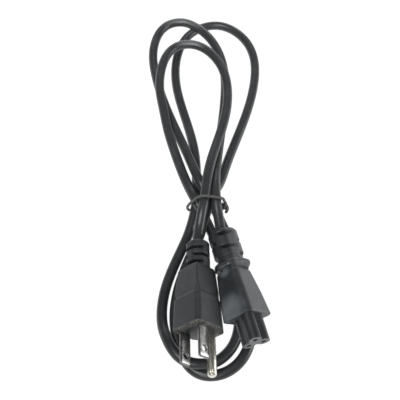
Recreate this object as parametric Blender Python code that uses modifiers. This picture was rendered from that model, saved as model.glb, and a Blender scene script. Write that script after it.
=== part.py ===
# A mains lead: a three-pin plug, a cloverleaf connector and the round cord between them,
# laid in a hank and held by a thin tie. Metres, +Z up, lying on the plane z = 0.
import bpy
import bmesh
import math
import numpy as np
from mathutils import Euler, Matrix, Vector

MM = 0.001

# driving sizes, in millimetres
gap = 0.3                 # running gap between neighbouring solids

cordDiameter = 5.5
cordFloorGap = 0.1        # the tube's facets stay just above the surface
exitStraight = 2.5        # the cord leaves each strain relief straight for this length
routeStep = 44.0          # longest straight chord of the tube
routeTurn = 0.55          # most that the tube turns at one point, in radians

bladeSpacing = 12.7       # between the middles of the two flat blades
bladeThickness = 1.5
bladeWidth = 6.35
bladeLength = 16.4        # in front of the plug's face
bladeRoot = 6.0           # held inside the moulding
bladeHoleDiameter = 3.2
bladeHoleDistance = 11.9  # from the face to the hole's middle
bladeTipChamfer = 0.7

earthPinOffset = 11.9     # from the line of the blades
earthPinDiameter = 4.76
earthPinLength = 21.4
earthPinRoot = 8.0
earthPinTipRadius = 1.7
earthPinTipHole = 1.3
earthPinTipHoleDepth = 3.0

plugFaceWidth = 19.8
plugFaceHeight = 21.9
plugMiddle = 4.5          # the moulding's middle, from the line of the blades
plugGripLength = 17.8     # the straight-sided front part
plugGripWidth = 18.8
plugGripHeight = 20.6
plugShoulderLength = 34.4
plugShoulderWidth = 14.4
plugShoulderHeight = 16.8
plugBladeChamfer = 1.8    # of the two corners beside the blades
plugEarthChamfer = (4.1, 6.2)  # of the two corners beside the earth pin: across, and towards the blades
plugReliefLength = 15.9
plugReliefDiameter = 12.4
plugReliefRise = 1.0      # the relief's end is bent up by this much
plugEdgeRounding = 0.6

plugSlotWidth = 1.7
plugSlotPitch = 4.15
plugFirstSlot = 2.5       # from the shoulder to the middle of the first slot
plugSlotDepth = 3.1
connectorSlotWidth = 2.0
connectorSlotPitch = 4.1
connectorLastSlot = 3.6   # from the cord's end of the relief
connectorSlotDepth = 2.3
slotOvershoot = 2.0       # how far a slot's cutter stands out of the relief

noseLobeRadius = 3.35
noseLobeSpacing = 7.4     # between the middles of the live lobes
noseEarthRise = 5.2       # the earth lobe's middle above the line of the live ones
noseCoreRadius = 3.0
noseTurn = 14.0           # degrees: the nose stands turned in the body, its earth lobe over to the left
noseLength = 13.8
noseRoot = 4.0
contactHoleDiameter = 2.5
contactMouthLength = 1.6
contactChamberDiameter = 4.2
contactDepth = 12.0
contactWall = 0.35
contactFloor = 0.8

connectorWidth = 24.2
connectorTop = 9.7        # above the line of the live contacts
connectorBottom = 8.2
connectorFlat = 1.6       # half the width of the ridge's flat
connectorRidgeShift = 0.9  # the ridge lies to the left of the middle, and the right corner hangs lower
connectorCornerDrop = 1.0
connectorBodyLength = 26.9
connectorNeckWidth = 17.6
connectorNeckTop = 7.0
connectorNeckBottom = 6.4
connectorGrooveLength = 1.6
connectorGrooveWidth = 14.6
connectorCollarWidth = 19.2
connectorCollarHeight = 15.0
connectorCollarLength = 3.4
connectorStemLength = 3.6
connectorStemWidth = 13.6
connectorStemHeight = 12.4
connectorReliefLength = 15.4
connectorReliefWidth = 16.0
connectorReliefHeight = 14.0
connectorEdgeRounding = 0.5

tieDiameter = 1.4
tieTwistRadius = 0.95      # the two tails lie round each other
tieTwistTurns = 0.75

# Where the two ends lie. A plug's or connector's own frame: Y runs out of its face.
plugPlace = (-5.9, -105.6, 19.6)
plugTurn = (176.8, -45.3, 3.8)
connectorPlace = (21.6, -97.5, 14.3)
connectorTurn = (0.0, -4.0, -165.8)

# The cord's middle line from the plug to the connector, between its two ends.
cordRoute = (
    (-2.9, -43.9, 16.2), (-1.6, -36.9, 19.1), (-0.2, -28.8, 19.9), (1.1, -17.6, 20.8),
    (7.1, 10.5, 18.4), (11.6, 27.9, 17.4), (14.2, 55.1, 16.5), (5.8, 83.4, 16.0), (-8.0, 93.5, 16.0),
    (-15.5, 92.8, 16.0), (-27.9, 66.5, 16.0), (-27.8, 53.9, 16.0), (-25.5, 40.8, 15.0), (-22.1, 24.0, 13.5),
    (-18.1, 9.9, 12.0), (-8.4, -17.3, 10.4), (-4.4, -26.5, 11.1), (0.6, -34.6, 5.3), (6.4, -47.1, 2.9),
    (12.7, -62.7, 2.9), (17.4, -84.6, 2.9), (14.1, -107.5, 3.0), (10.3, -112.6, 3.6), (5.2, -116.7, 5.0),
    (-0.6, -118.8, 7.4), (-10.4, -117.8, 9.6), (-19.5, -105.9, 7.8), (-22.1, -97.3, 4.9), (-21.7, -78.2, 2.9),
    (-9.7, -43.3, 2.9), (-6.7, -33.0, 4.5), (-5.3, -25.1, 5.3), (-4.9, -15.2, 4.5), (-6.2, 15.9, 2.9),
    (-18.1, 69.2, 2.9), (-17.4, 98.9, 2.9), (-7.1, 119.2, 2.9), (9.7, 125.2, 2.9), (25.7, 114.3, 2.9),
    (31.8, 67.5, 2.9), (22.0, 32.0, 2.9), (16.5, 16.0, 3.4), (11.9, 0.4, 6.0), (7.5, -13.9, 9.3),
    (4.5, -20.9, 11.8), (3.2, -26.5, 12.6), (0.5, -34.7, 13.3), (-3.1, -45.2, 6.4), (-5.9, -50.9, 3.4),
    (-8.3, -56.9, 2.9), (-15.4, -99.7, 2.9), (-2.2, -122.5, 2.9), (8.9, -122.0, 2.9), (19.2, -113.5, 2.9),
    (24.1, -88.6, 2.9), (14.0, -46.1, 2.9), (10.2, -37.2, 3.2), (6.8, -29.3, 4.8), (3.4, -21.7, 5.2),
    (-0.6, -15.6, 9.0), (-4.8, -6.4, 10.1), (-9.3, 6.6, 9.0), (-19.3, 32.5, 8.8), (-31.9, 75.0, 8.8),
    (-32.9, 102.7, 8.8), (-22.6, 120.6, 8.8), (-14.4, 121.9, 8.8), (-6.0, 117.7, 8.8), (11.3, 86.6, 8.8),
    (12.9, 55.3, 8.8), (6.3, -8.1, 14.5), (6.3, -30.3, 17.7), (7.0, -35.9, 16.2),
)

# The tie's middle line, once round the six strands, starting and ending at its twist.
tieTwistFrom = (11.0, -28.1, 12.2)
tieTwistTo = (12.6, -29.8, 7.6)
tieRoute = (
    (10.7, -28.4, 16.2), (9.8, -29.3, 19.9), (6.7, -30.0, 22.2), (3.2, -30.3, 23.6), (-0.4, -30.3, 24.1),
    (-3.4, -29.8, 22.6), (-5.4, -29.0, 18.6), (-7.8, -27.6, 13.4), (-9.5, -26.6, 8.6), (-9.9, -25.8, 4.2),
    (-8.2, -25.4, 1.3), (-5.6, -25.2, 0.8), (0.0, -25.2, 0.8), (6.0, -25.3, 0.8), (8.8, -25.5, 1.5),
    (10.3, -26.0, 4.4), (10.5, -26.8, 8.2),
)

for old in list(bpy.data.objects):
    bpy.data.objects.remove(old, do_unlink=True)

partCollection = bpy.data.collections.new("power_cord")
cutterCollection = bpy.data.collections.new("cutters")
bpy.context.scene.collection.children.link(partCollection)
bpy.context.scene.collection.children.link(cutterCollection)


def material(name, colour, roughness, metallic=0.0):
    made = bpy.data.materials.new(name)
    made.use_nodes = True
    shader = made.node_tree.nodes["Principled BSDF"]
    shader.inputs["Base Color"].default_value = (*colour, 1.0)
    shader.inputs["Roughness"].default_value = roughness
    shader.inputs["Metallic"].default_value = metallic
    return made


def frameEmpty(name, place, turn):
    # an empty that carries one end of the lead
    holder = bpy.data.objects.new(name, None)
    holder.empty_display_size = 0.02
    holder.location = Vector(place) * MM
    holder.rotation_euler = Euler([math.radians(angle) for angle in turn])
    partCollection.objects.link(holder)
    return holder


def place(obj, collection, parent=None, location=(0, 0, 0), rotation=(0, 0, 0)):
    for owner in list(obj.users_collection):
        owner.objects.unlink(obj)
    collection.objects.link(obj)
    obj.parent = parent
    obj.location = Vector(location) * MM
    obj.rotation_euler = Euler([math.radians(angle) for angle in rotation])
    return obj


def box(name, size, collection, parent, location, rotation=(0, 0, 0)):
    bpy.ops.mesh.primitive_cube_add(size=1.0)
    obj = bpy.context.object
    obj.name = name
    for vertex in obj.data.vertices:
        vertex.co = Vector([c * s * MM for c, s in zip(vertex.co, size)])
    return place(obj, collection, parent, location, rotation)


def rodAlongY(name, diameter, start, end, collection, parent, x=0.0, z=0.0, sides=32):
    # a cylinder from y = start to y = end
    bpy.ops.mesh.primitive_cylinder_add(vertices=sides, radius=diameter / 2 * MM, depth=abs(end - start) * MM)
    obj = bpy.context.object
    obj.name = name
    return place(obj, collection, parent, (x, (start + end) / 2, z), (90, 0, 0))


def asCutter(obj):
    obj.hide_render = True
    obj.display_type = "WIRE"
    return obj


def combine(target, tool, operation):
    modifier = target.modifiers.new(operation.lower(), "BOOLEAN")
    modifier.operation = operation
    modifier.solver = "EXACT"
    modifier.object = tool
    return modifier


def applyModifiers(obj):
    # turn an object's evaluated shape into its own mesh
    bpy.context.view_layer.update()
    evaluated = obj.evaluated_get(bpy.context.evaluated_depsgraph_get())
    mesh = bpy.data.meshes.new_from_object(evaluated)
    obj.modifiers.clear()
    obj.data = mesh
    return obj


def smooth(obj, angle=35):
    obj.data.shade_smooth()
    obj.data.set_sharp_from_angle(angle=math.radians(angle))


def roundedOutline(corners, radius, steps=2):
    # the corners of a convex outline, each replaced by an arc
    points = []
    count = len(corners)
    for i in range(count):
        here = Vector(corners[i])
        before = (Vector(corners[i - 1]) - here)
        after = (Vector(corners[(i + 1) % count]) - here)
        reach = min(radius, before.length * 0.45, after.length * 0.45)
        start, end = here + before.normalized() * reach, here + after.normalized() * reach
        for k in range(steps + 1):
            t = k / steps
            points.append((1 - t) ** 2 * start + 2 * t * (1 - t) * here + t ** 2 * end)
    return points


def loft(name, sections, collection, parent):
    # sections: list of (y, outline points in x and z), joined ring to ring and closed by end faces
    mesh = bmesh.new()
    rings = []
    for y, outline in sections:
        rings.append([mesh.verts.new(Vector((p[0], y, p[1])) * MM) for p in outline])
    for first, second in zip(rings, rings[1:]):
        for i in range(len(first)):
            j = (i + 1) % len(first)
            mesh.faces.new((first[i], first[j], second[j], second[i]))
    mesh.faces.new(rings[0][::-1])
    mesh.faces.new(rings[-1])
    bmesh.ops.recalc_face_normals(mesh, faces=mesh.faces)
    data = bpy.data.meshes.new(name)
    mesh.to_mesh(data)
    mesh.free()
    obj = bpy.data.objects.new(name, data)
    return place(obj, collection, parent)


def chamferedBox(width, height, chamfer, x=0.0, z=0.0, radius=1.0, upperChamfer=None):
    # a rectangle with its corners cut off, the two upper ones by their own (across, down) if it is given
    w, h, c = width / 2, height / 2, chamfer
    across, down = upperChamfer or (c, c)
    corners = [(w, -h + c), (w, h - down), (w - across, h), (-w + across, h), (-w, h - down), (-w, -h + c),
               (-w + c, -h), (w - c, -h)]
    return roundedOutline([(x + px, z + pz) for px, pz in corners], radius)


def diamond(width, top, bottom, flat, side=0.8, radius=0.8, skew=1.0):
    # a diamond with a narrow flat along its upper and lower edges, its ridge moved over and its right corner
    # lowered by a share of the connector's own amounts
    w, ridge, drop = width / 2, connectorRidgeShift * skew, connectorCornerDrop * skew
    corners = [(w, -side), (w, side), (flat + ridge, top), (-flat + ridge, top), (-w, side - drop),
               (-w, -side - drop), (-flat * 1.6, -bottom), (flat * 1.6, -bottom)]
    return roundedOutline(corners, radius)


def smoothCurve(points, perSpan=24):
    # a natural cubic spline through the points, by chord length
    points = np.array(points, float)
    knots = np.concatenate([[0], np.cumsum(np.linalg.norm(np.diff(points, axis=0), axis=1))])
    spans = np.diff(knots)
    count = len(points)
    system = np.eye(count)
    right = np.zeros_like(points)
    for i in range(1, count - 1):
        system[i, i - 1:i + 2] = spans[i - 1], 2 * (spans[i - 1] + spans[i]), spans[i]
        right[i] = 6 * ((points[i + 1] - points[i]) / spans[i] - (points[i] - points[i - 1]) / spans[i - 1])
    bend = np.linalg.solve(system, right)
    curve = []
    for i, span in enumerate(spans):
        for t in np.linspace(0, span, perSpan, endpoint=False):
            a, b = (span - t) / span, t / span
            curve.append(a * points[i] + b * points[i + 1]
                         + ((a ** 3 - a) * bend[i] + (b ** 3 - b) * bend[i + 1]) * span ** 2 / 6)
    curve.append(points[-1])
    return np.array(curve)


def sparse(curve, longest, sharpest):
    # fewer points: close together in the bends, far apart on the straight runs
    steps = np.diff(curve, axis=0)
    lengths = np.linalg.norm(steps, axis=1)
    tangents = steps / lengths[:, None]
    turns = np.arccos(np.clip((tangents[1:] * tangents[:-1]).sum(1), -1, 1))
    weight = np.concatenate([[0], np.cumsum(lengths / longest + np.concatenate([[0], turns]) / sharpest)])
    count = int(math.ceil(weight[-1]))
    wanted = np.linspace(0, weight[-1], count + 1)
    return np.stack([np.interp(wanted, weight, curve[:, k]) for k in range(3)], axis=1)


def tube(name, points, diameter, resolution):
    curve = bpy.data.curves.new(name, "CURVE")
    curve.dimensions = "3D"
    curve.bevel_depth = diameter / 2 * MM
    curve.bevel_resolution = resolution
    curve.use_fill_caps = True
    spline = curve.splines.new("POLY")
    spline.points.add(len(points) - 1)
    for target, point in zip(spline.points, points):
        target.co = (*(Vector(point) * MM), 1.0)
    obj = bpy.data.objects.new(name, curve)
    partCollection.objects.link(obj)
    return obj


blackPlastic = material("black_plastic", (0.035, 0.038, 0.042), 0.45)
nosePlastic = material("nose_plastic", (0.03, 0.032, 0.036), 0.3)
cordPlastic = material("cord_plastic", (0.02, 0.021, 0.024), 0.4)
tiePlastic = material("tie_plastic", (0.09, 0.095, 0.1), 0.5)
nickel = material("nickel", (0.66, 0.62, 0.56), 0.25, 1.0)
brass = material("brass", (0.62, 0.48, 0.26), 0.35, 1.0)

plugFrame = frameEmpty("plug_frame", plugPlace, plugTurn)
connectorFrame = frameEmpty("connector_frame", connectorPlace, connectorTurn)

# the plug is one moulding: face at y = 0, cord end at -y
reliefEnd = plugShoulderLength + plugReliefLength
riseX, riseZ = plugReliefRise * math.sqrt(0.5), -plugReliefRise * math.sqrt(0.5)


def reliefOutline(diameter, share):
    middle = plugMiddle + riseZ * share
    return chamferedBox(diameter, diameter, diameter * 0.29, riseX * share, middle, diameter * 0.12)


def plugOutline(width, height, less=0.0, bladeChamfer=plugBladeChamfer, earthShare=1.0):
    # the moulding's section, smaller by "less" all round
    earthChamfer = [leg * earthShare for leg in plugEarthChamfer]
    return chamferedBox(width - 2 * less, height - 2 * less, bladeChamfer, 0, plugMiddle, 0.8, earthChamfer)


plugBody = loft("plug_body", [
    (0.0, plugOutline(plugFaceWidth, plugFaceHeight, plugEdgeRounding)),
    (-plugEdgeRounding, plugOutline(plugFaceWidth, plugFaceHeight)),
    (-plugGripLength + 0.15, plugOutline(plugGripWidth, plugGripHeight)),
    (-plugGripLength - 0.1, plugOutline(plugGripWidth, plugGripHeight, 0.3, 1.7)),
    (-plugGripLength - 5.4, plugOutline(plugGripWidth, plugGripHeight, 0.95, 0.6, 0.8)),
    (-plugShoulderLength + 1.2, plugOutline(plugShoulderWidth, plugShoulderHeight, 0, 0.6, 0.65)),
    (-plugShoulderLength, plugOutline(plugShoulderWidth, plugShoulderHeight, 0.9, 0.6, 0.5)),
    (-plugShoulderLength - 0.2, reliefOutline(plugReliefDiameter, 0.0)),
    (-reliefEnd + 1.2, reliefOutline(plugReliefDiameter, 0.94)),
    (-reliefEnd + 0.3, reliefOutline(plugReliefDiameter - 1.2, 0.98)),
    (-reliefEnd, reliefOutline(plugReliefDiameter - 2.6, 1.0)),
], partCollection, plugFrame)
plugBody.data.materials.append(blackPlastic)

for index in range(3):
    y = -plugShoulderLength - plugFirstSlot - index * plugSlotPitch
    share = (-y - plugShoulderLength) / plugReliefLength
    cx, cz = riseX * share, plugMiddle + riseZ * share
    reach = plugReliefDiameter / 2 + slotOvershoot
    floor = plugReliefDiameter / 2 - plugSlotDepth
    span = plugReliefDiameter + 2 * slotOvershoot
    for side in (-1, 1):
        middle = side * (floor + reach) / 2
        if index % 2 == 0:
            cutter = box("relief_slot", (span, plugSlotWidth, reach - floor), cutterCollection, plugFrame,
                         (cx, y, cz + middle))
        else:
            cutter = box("relief_slot", (reach - floor, plugSlotWidth, span), cutterCollection, plugFrame,
                         (cx + middle, y, cz))
        combine(plugBody, asCutter(cutter), "DIFFERENCE")

# the pockets that hold the blades and the earth pin
for side in (-1, 1):
    pocket = box("blade_pocket", (bladeThickness + 2 * gap, bladeRoot + gap + 1.0, bladeWidth + 2 * gap),
                 cutterCollection, plugFrame, (side * bladeSpacing / 2, (1.0 - bladeRoot - gap) / 2, 0))
    combine(plugBody, asCutter(pocket), "DIFFERENCE")
pinPocket = rodAlongY("pin_pocket", earthPinDiameter + 2 * gap, -earthPinRoot - gap, 1.0, cutterCollection,
                      plugFrame, 0, earthPinOffset)
combine(plugBody, asCutter(pinPocket), "DIFFERENCE")

for name, side in (("neutral_blade", 1), ("line_blade", -1)):
    blade = box(name, (bladeThickness, bladeLength + bladeRoot, bladeWidth), partCollection, plugFrame,
                (side * bladeSpacing / 2, (bladeLength - bladeRoot) / 2, 0))
    blade.data.materials.append(nickel)
    edges = bmesh.new()
    edges.from_mesh(blade.data)
    top = max(v.co.y for v in edges.verts)
    tip = [e for e in edges.edges if all(v.co.y > top - 1e-6 for v in e.verts)]
    bmesh.ops.bevel(edges, geom=tip, offset=bladeTipChamfer * MM / 2, segments=2, affect="EDGES", profile=0.5)
    edges.to_mesh(blade.data)
    edges.free()
    bpy.ops.mesh.primitive_cylinder_add(vertices=32, radius=bladeHoleDiameter / 2 * MM,
                                        depth=(bladeThickness + 2) * MM)
    hole = bpy.context.object
    hole.name = "blade_hole"
    place(hole, cutterCollection, plugFrame, (side * bladeSpacing / 2, bladeHoleDistance, 0), (0, 90, 0))
    combine(blade, asCutter(hole), "DIFFERENCE")

# the earth pin is turned: a profile from its tip down its outer side to its root, with a blind hole in the tip
pinProfile = [(0.0, -earthPinTipHoleDepth), (earthPinTipHole / 2, -earthPinTipHoleDepth),
              (earthPinTipHole / 2, 0.0)]
pinProfile = [(r, earthPinLength + y) for r, y in pinProfile]
for k in range(7):
    turn = math.radians(90 * k / 6)
    r = earthPinDiameter / 2 - earthPinTipRadius + earthPinTipRadius * math.sin(turn)
    y = earthPinLength - earthPinTipRadius + earthPinTipRadius * math.cos(turn)
    pinProfile.append((r, y))
pinProfile += [(earthPinDiameter / 2, -earthPinRoot), (0.0, -earthPinRoot)]
pinMesh = bpy.data.meshes.new("earth_pin")
pinEdges = [(i, i + 1) for i in range(len(pinProfile) - 1)]
pinMesh.from_pydata([Vector((r, 0, y)) * MM for r, y in pinProfile], pinEdges, [])
earthPin = bpy.data.objects.new("earth_pin", pinMesh)
place(earthPin, partCollection, plugFrame, (0, 0, earthPinOffset), (-90, 0, 0))
spin = earthPin.modifiers.new("turn", "SCREW")
spin.axis = "Z"
spin.steps = spin.render_steps = 32
spin.use_merge_vertices = True
spin.merge_threshold = 0.00001
applyModifiers(earthPin)
earthPin.data.materials.append(nickel)

# the connector: face at y = 0, nose towards +y, cord end at -y; a groove, a thin collar and a ribbed stem lie
# between its body and its relief
grooveEnd = connectorBodyLength + connectorGrooveLength
collarEnd = grooveEnd + connectorCollarLength
stemEnd = collarEnd + connectorStemLength
connectorEnd = stemEnd + connectorReliefLength
midWidth = connectorWidth + (connectorNeckWidth - connectorWidth) * 0.4
midTop = connectorTop + (connectorNeckTop - connectorTop) * 0.4
midBottom = connectorBottom + (connectorNeckBottom - connectorBottom) * 0.4
inset = connectorEdgeRounding
collarHalf, grooveHalf = connectorCollarHeight / 2, connectorGrooveWidth / 2


def bodyDiamond(less=0.0, flatShare=1.0, width=connectorNeckWidth, top=connectorNeckTop,
                bottom=connectorNeckBottom):
    return diamond(width - 2 * less, top - less, bottom - less, connectorFlat * flatShare, radius=0.8 + less / 2)


def collarDiamond(less):
    return diamond(connectorCollarWidth - 2 * less, collarHalf - less / 2, collarHalf - 0.3 - less / 2,
                   connectorFlat * 2.1, 2.8, 1.8, 0.0)


def connectorSection(less, chamfer):
    return chamferedBox(connectorReliefWidth - 2 * less, connectorReliefHeight - 2 * less, chamfer, 0, 0, 2.8)


grooveDiamond = diamond(connectorGrooveWidth, grooveHalf - 1.5, grooveHalf - 1.8, connectorFlat * 1.6, 1.6, 1.6,
                        0.0)
stemBox = chamferedBox(connectorStemWidth, connectorStemHeight, 3.8, 0, 0, 2.8)
connectorBody = loft("connector_body", [
    (0.0, bodyDiamond(inset, 1.0, connectorWidth, connectorTop, connectorBottom)),
    (-inset, bodyDiamond(0.0, 1.0, connectorWidth, connectorTop, connectorBottom)),
    (-connectorBodyLength * 0.48, bodyDiamond(0.0, 1.0, midWidth, midTop, midBottom)),
    (-connectorBodyLength + 0.9, bodyDiamond(0.0, 1.2)),
    (-connectorBodyLength + 0.4, bodyDiamond(0.3, 1.3)),
    (-connectorBodyLength, bodyDiamond(0.8, 1.4)),
    (-connectorBodyLength - 0.2, grooveDiamond), (-grooveEnd + 0.2, grooveDiamond),
    (-grooveEnd, collarDiamond(0.9)), (-grooveEnd - 0.8, collarDiamond(0.0)),
    (-collarEnd + 1.2, collarDiamond(0.0)), (-collarEnd + 0.3, collarDiamond(0.9)),
    (-collarEnd, collarDiamond(1.8)),
    (-collarEnd - 0.2, stemBox), (-stemEnd + 0.3, stemBox),
    (-stemEnd, connectorSection(0.6, 4.3)), (-stemEnd - 0.5, connectorSection(0.0, 4.4)),
    (-connectorEnd + 1.2, connectorSection(0.0, 4.4)), (-connectorEnd + 0.4, connectorSection(0.4, 4.2)),
    (-connectorEnd, connectorSection(1.2, 3.8)),
], partCollection, connectorFrame)
connectorBody.data.materials.append(blackPlastic)

for index in range(4):
    y = -connectorEnd + connectorLastSlot + index * connectorSlotPitch
    upright = index % 2 == 0
    span = (connectorReliefHeight if upright else connectorReliefWidth) / 2
    depth = connectorSlotDepth + slotOvershoot
    width = (connectorReliefWidth if upright else connectorReliefHeight) * 0.7
    for side in (-1, 1):
        middle = side * (span + slotOvershoot - depth / 2)
        if upright:
            cutter = box("relief_slot", (width, connectorSlotWidth, depth), cutterCollection, connectorFrame,
                         (0, y, middle))
        else:
            cutter = box("relief_slot", (depth, connectorSlotWidth, width), cutterCollection, connectorFrame,
                         (middle, y, 0))
        combine(connectorBody, asCutter(cutter), "DIFFERENCE")

# the nose: three lobes round the three contacts, joined by a core
turnCos, turnSin = math.cos(math.radians(noseTurn)), math.sin(math.radians(noseTurn))


def turned(x, z):
    return x * turnCos + z * turnSin, z * turnCos - x * turnSin


half = noseLobeSpacing / 2
lobes = [("line", *turned(half, 0.0)), ("neutral", *turned(-half, 0.0)), ("earth", *turned(0.0, noseEarthRise))]


def cloverleaf(name, grow, start, end, collection):
    discs = [(x, z, noseLobeRadius) for _, x, z in lobes] + [(*turned(0.0, noseEarthRise / 3), noseCoreRadius)]
    rods = [rodAlongY(name if i == 0 else name + "_lobe", 2 * (radius + grow), start, end, collection,
                      connectorFrame, x, z, 40) for i, (x, z, radius) in enumerate(discs)]
    first = rods[0]
    for other in rods[1:]:
        combine(first, asCutter(other), "UNION")
    applyModifiers(first)
    for other in rods[1:]:
        bpy.data.objects.remove(other, do_unlink=True)
    return first


nosePocket = cloverleaf("nose_pocket", gap, -noseRoot - gap, 1.0, cutterCollection)
combine(connectorBody, asCutter(nosePocket), "DIFFERENCE")

nose = cloverleaf("cloverleaf_nose", 0.0, -noseRoot, noseLength, partCollection)
nose.data.materials.append(nosePlastic)
for label, x, z in lobes:
    chamberStart, chamberEnd = noseLength - contactDepth, noseLength - contactMouthLength
    mouth = rodAlongY("contact_mouth", contactHoleDiameter, chamberEnd - 0.5, noseLength + 1.0, cutterCollection,
                      connectorFrame, x, z, 24)
    chamber = rodAlongY("contact_chamber", contactChamberDiameter, chamberStart, chamberEnd, cutterCollection,
                        connectorFrame, x, z, 24)
    combine(nose, asCutter(mouth), "DIFFERENCE")
    combine(nose, asCutter(chamber), "DIFFERENCE")
    sleeveDiameter = contactChamberDiameter - 2 * gap
    sleeve = rodAlongY("contact_" + label, sleeveDiameter, chamberStart + gap, chamberEnd - gap, partCollection,
                       connectorFrame, x, z, 24)
    bore = rodAlongY("contact_bore", sleeveDiameter - 2 * contactWall, chamberStart + gap + contactFloor, noseLength,
                     cutterCollection, connectorFrame, x, z, 24)
    combine(sleeve, asCutter(bore), "DIFFERENCE")
    sleeve.data.materials.append(brass)

bpy.context.view_layer.update()
plugExit = plugFrame.matrix_world @ (Vector((riseX, -reliefEnd - gap, plugMiddle + riseZ)) * MM) / MM
connectorExit = connectorFrame.matrix_world @ (Vector((0, -connectorEnd - gap, 0)) * MM) / MM
plugLead = Vector((riseX, -reliefEnd - gap - exitStraight, plugMiddle + riseZ))
plugLead = plugFrame.matrix_world @ (plugLead * MM) / MM
connectorLead = connectorFrame.matrix_world @ (Vector((0, -connectorEnd - gap - exitStraight, 0)) * MM) / MM
route = smoothCurve([tuple(plugLead), *cordRoute, tuple(connectorLead)])
route[:, 2] = np.maximum(route[:, 2], cordDiameter / 2 + cordFloorGap)
cordLine = [tuple(plugExit), *sparse(route, routeStep, routeTurn), tuple(connectorExit)]
cord = tube("cord", cordLine, cordDiameter, 3)
cord.data.materials.append(cordPlastic)


def twistedTail(start, end, radius, turns, phase, count=8):
    # one of two strands wound round the line from start to end
    start, end = Vector(start), Vector(end)
    along = (end - start).normalized()
    up = (Vector((0, 0, 1)) - along * along.z).normalized()
    across = along.cross(up)
    points = []
    for k in range(count + 1):
        share = k / count
        angle = phase + math.tau * turns * share
        aside = up * math.cos(angle) + across * math.sin(angle)
        points.append(tuple(start.lerp(end, share) + aside * radius))
    return points


tailPoints = [twistedTail(tieTwistFrom, tieTwistTo, tieTwistRadius, tieTwistTurns, phase)
              for phase in (0.0, math.pi)]
tieLine = [*tailPoints[0][::-1], *tieRoute, *tailPoints[1]]
tie = tube("cord_tie", sparse(smoothCurve(tieLine), 6.0, 0.4), tieDiameter, 2)
tie.data.materials.append(tiePlastic)

for obj in partCollection.objects:
    if obj.type == "MESH":
        smooth(obj)
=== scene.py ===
# A mains lead in a tied hank: round cord, three-pin plug, cloverleaf connector and a thin tie.
import math

import bpy
import numpy as np
from mathutils import Euler, Matrix, Vector


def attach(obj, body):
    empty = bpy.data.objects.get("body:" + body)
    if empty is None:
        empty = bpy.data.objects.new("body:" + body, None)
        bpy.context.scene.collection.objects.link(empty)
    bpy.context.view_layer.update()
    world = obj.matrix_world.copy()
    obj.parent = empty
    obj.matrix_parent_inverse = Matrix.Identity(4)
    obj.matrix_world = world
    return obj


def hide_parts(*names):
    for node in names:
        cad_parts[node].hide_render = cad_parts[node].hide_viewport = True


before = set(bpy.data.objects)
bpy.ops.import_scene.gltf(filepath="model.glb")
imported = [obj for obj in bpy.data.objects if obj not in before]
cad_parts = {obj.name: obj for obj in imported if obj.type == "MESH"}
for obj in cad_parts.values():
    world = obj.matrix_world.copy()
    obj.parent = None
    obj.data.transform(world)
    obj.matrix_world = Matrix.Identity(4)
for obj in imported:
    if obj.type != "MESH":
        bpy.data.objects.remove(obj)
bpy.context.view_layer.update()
mm = 0.001

# The camera comes first: where it stands and what it looks at, in millimetres.
view = dict(lens=61.2, sensor=36.0, eye=(-2.8, -233.5, 334.2), target=(-2.8, -17.3, 0.0))


def aim(obj, place, target):
    # put an object at one point and turn its -Z towards another
    obj.location = Vector(place) * mm
    obj.rotation_euler = (Vector(target) - Vector(place)).to_track_quat("-Z", "Y").to_euler()


def makeCamera():
    # the one camera, at the eye and aimed at the target
    data = bpy.data.cameras.new("camera")
    data.lens, data.sensor_width = view["lens"], view["sensor"]
    data.clip_start, data.clip_end = 0.01, 20.0
    obj = bpy.data.objects.new("camera", data)
    bpy.context.scene.collection.objects.link(obj)
    aim(obj, view["eye"], view["target"])
    bpy.context.scene.camera = obj


makeCamera()


# Shader maths: a Flow is a value on its way through a material, and arithmetic on it adds Math nodes.
class Flow:
    def __init__(self, finish, socket):
        self.finish, self.socket = finish, socket

    def math(self, operation, first, second):
        return self.finish.node("ShaderNodeMath", dict(operation=operation), {0: first, 1: second})

    def __add__(self, other):
        return self.math("ADD", self, other)

    def __sub__(self, other):
        return self.math("SUBTRACT", self, other)

    def __rsub__(self, other):
        return self.math("SUBTRACT", other, self)

    def __mul__(self, other):
        return self.math("MULTIPLY", self, other)

    __radd__, __rmul__ = __add__, __mul__

    def between(self, low, high):
        # 0 below low, 1 above high, smooth in between
        span = {"Value": self, "From Min": low, "From Max": high}
        return self.finish.node("ShaderNodeMapRange", dict(interpolation_type="SMOOTHSTEP"), span)


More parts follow.
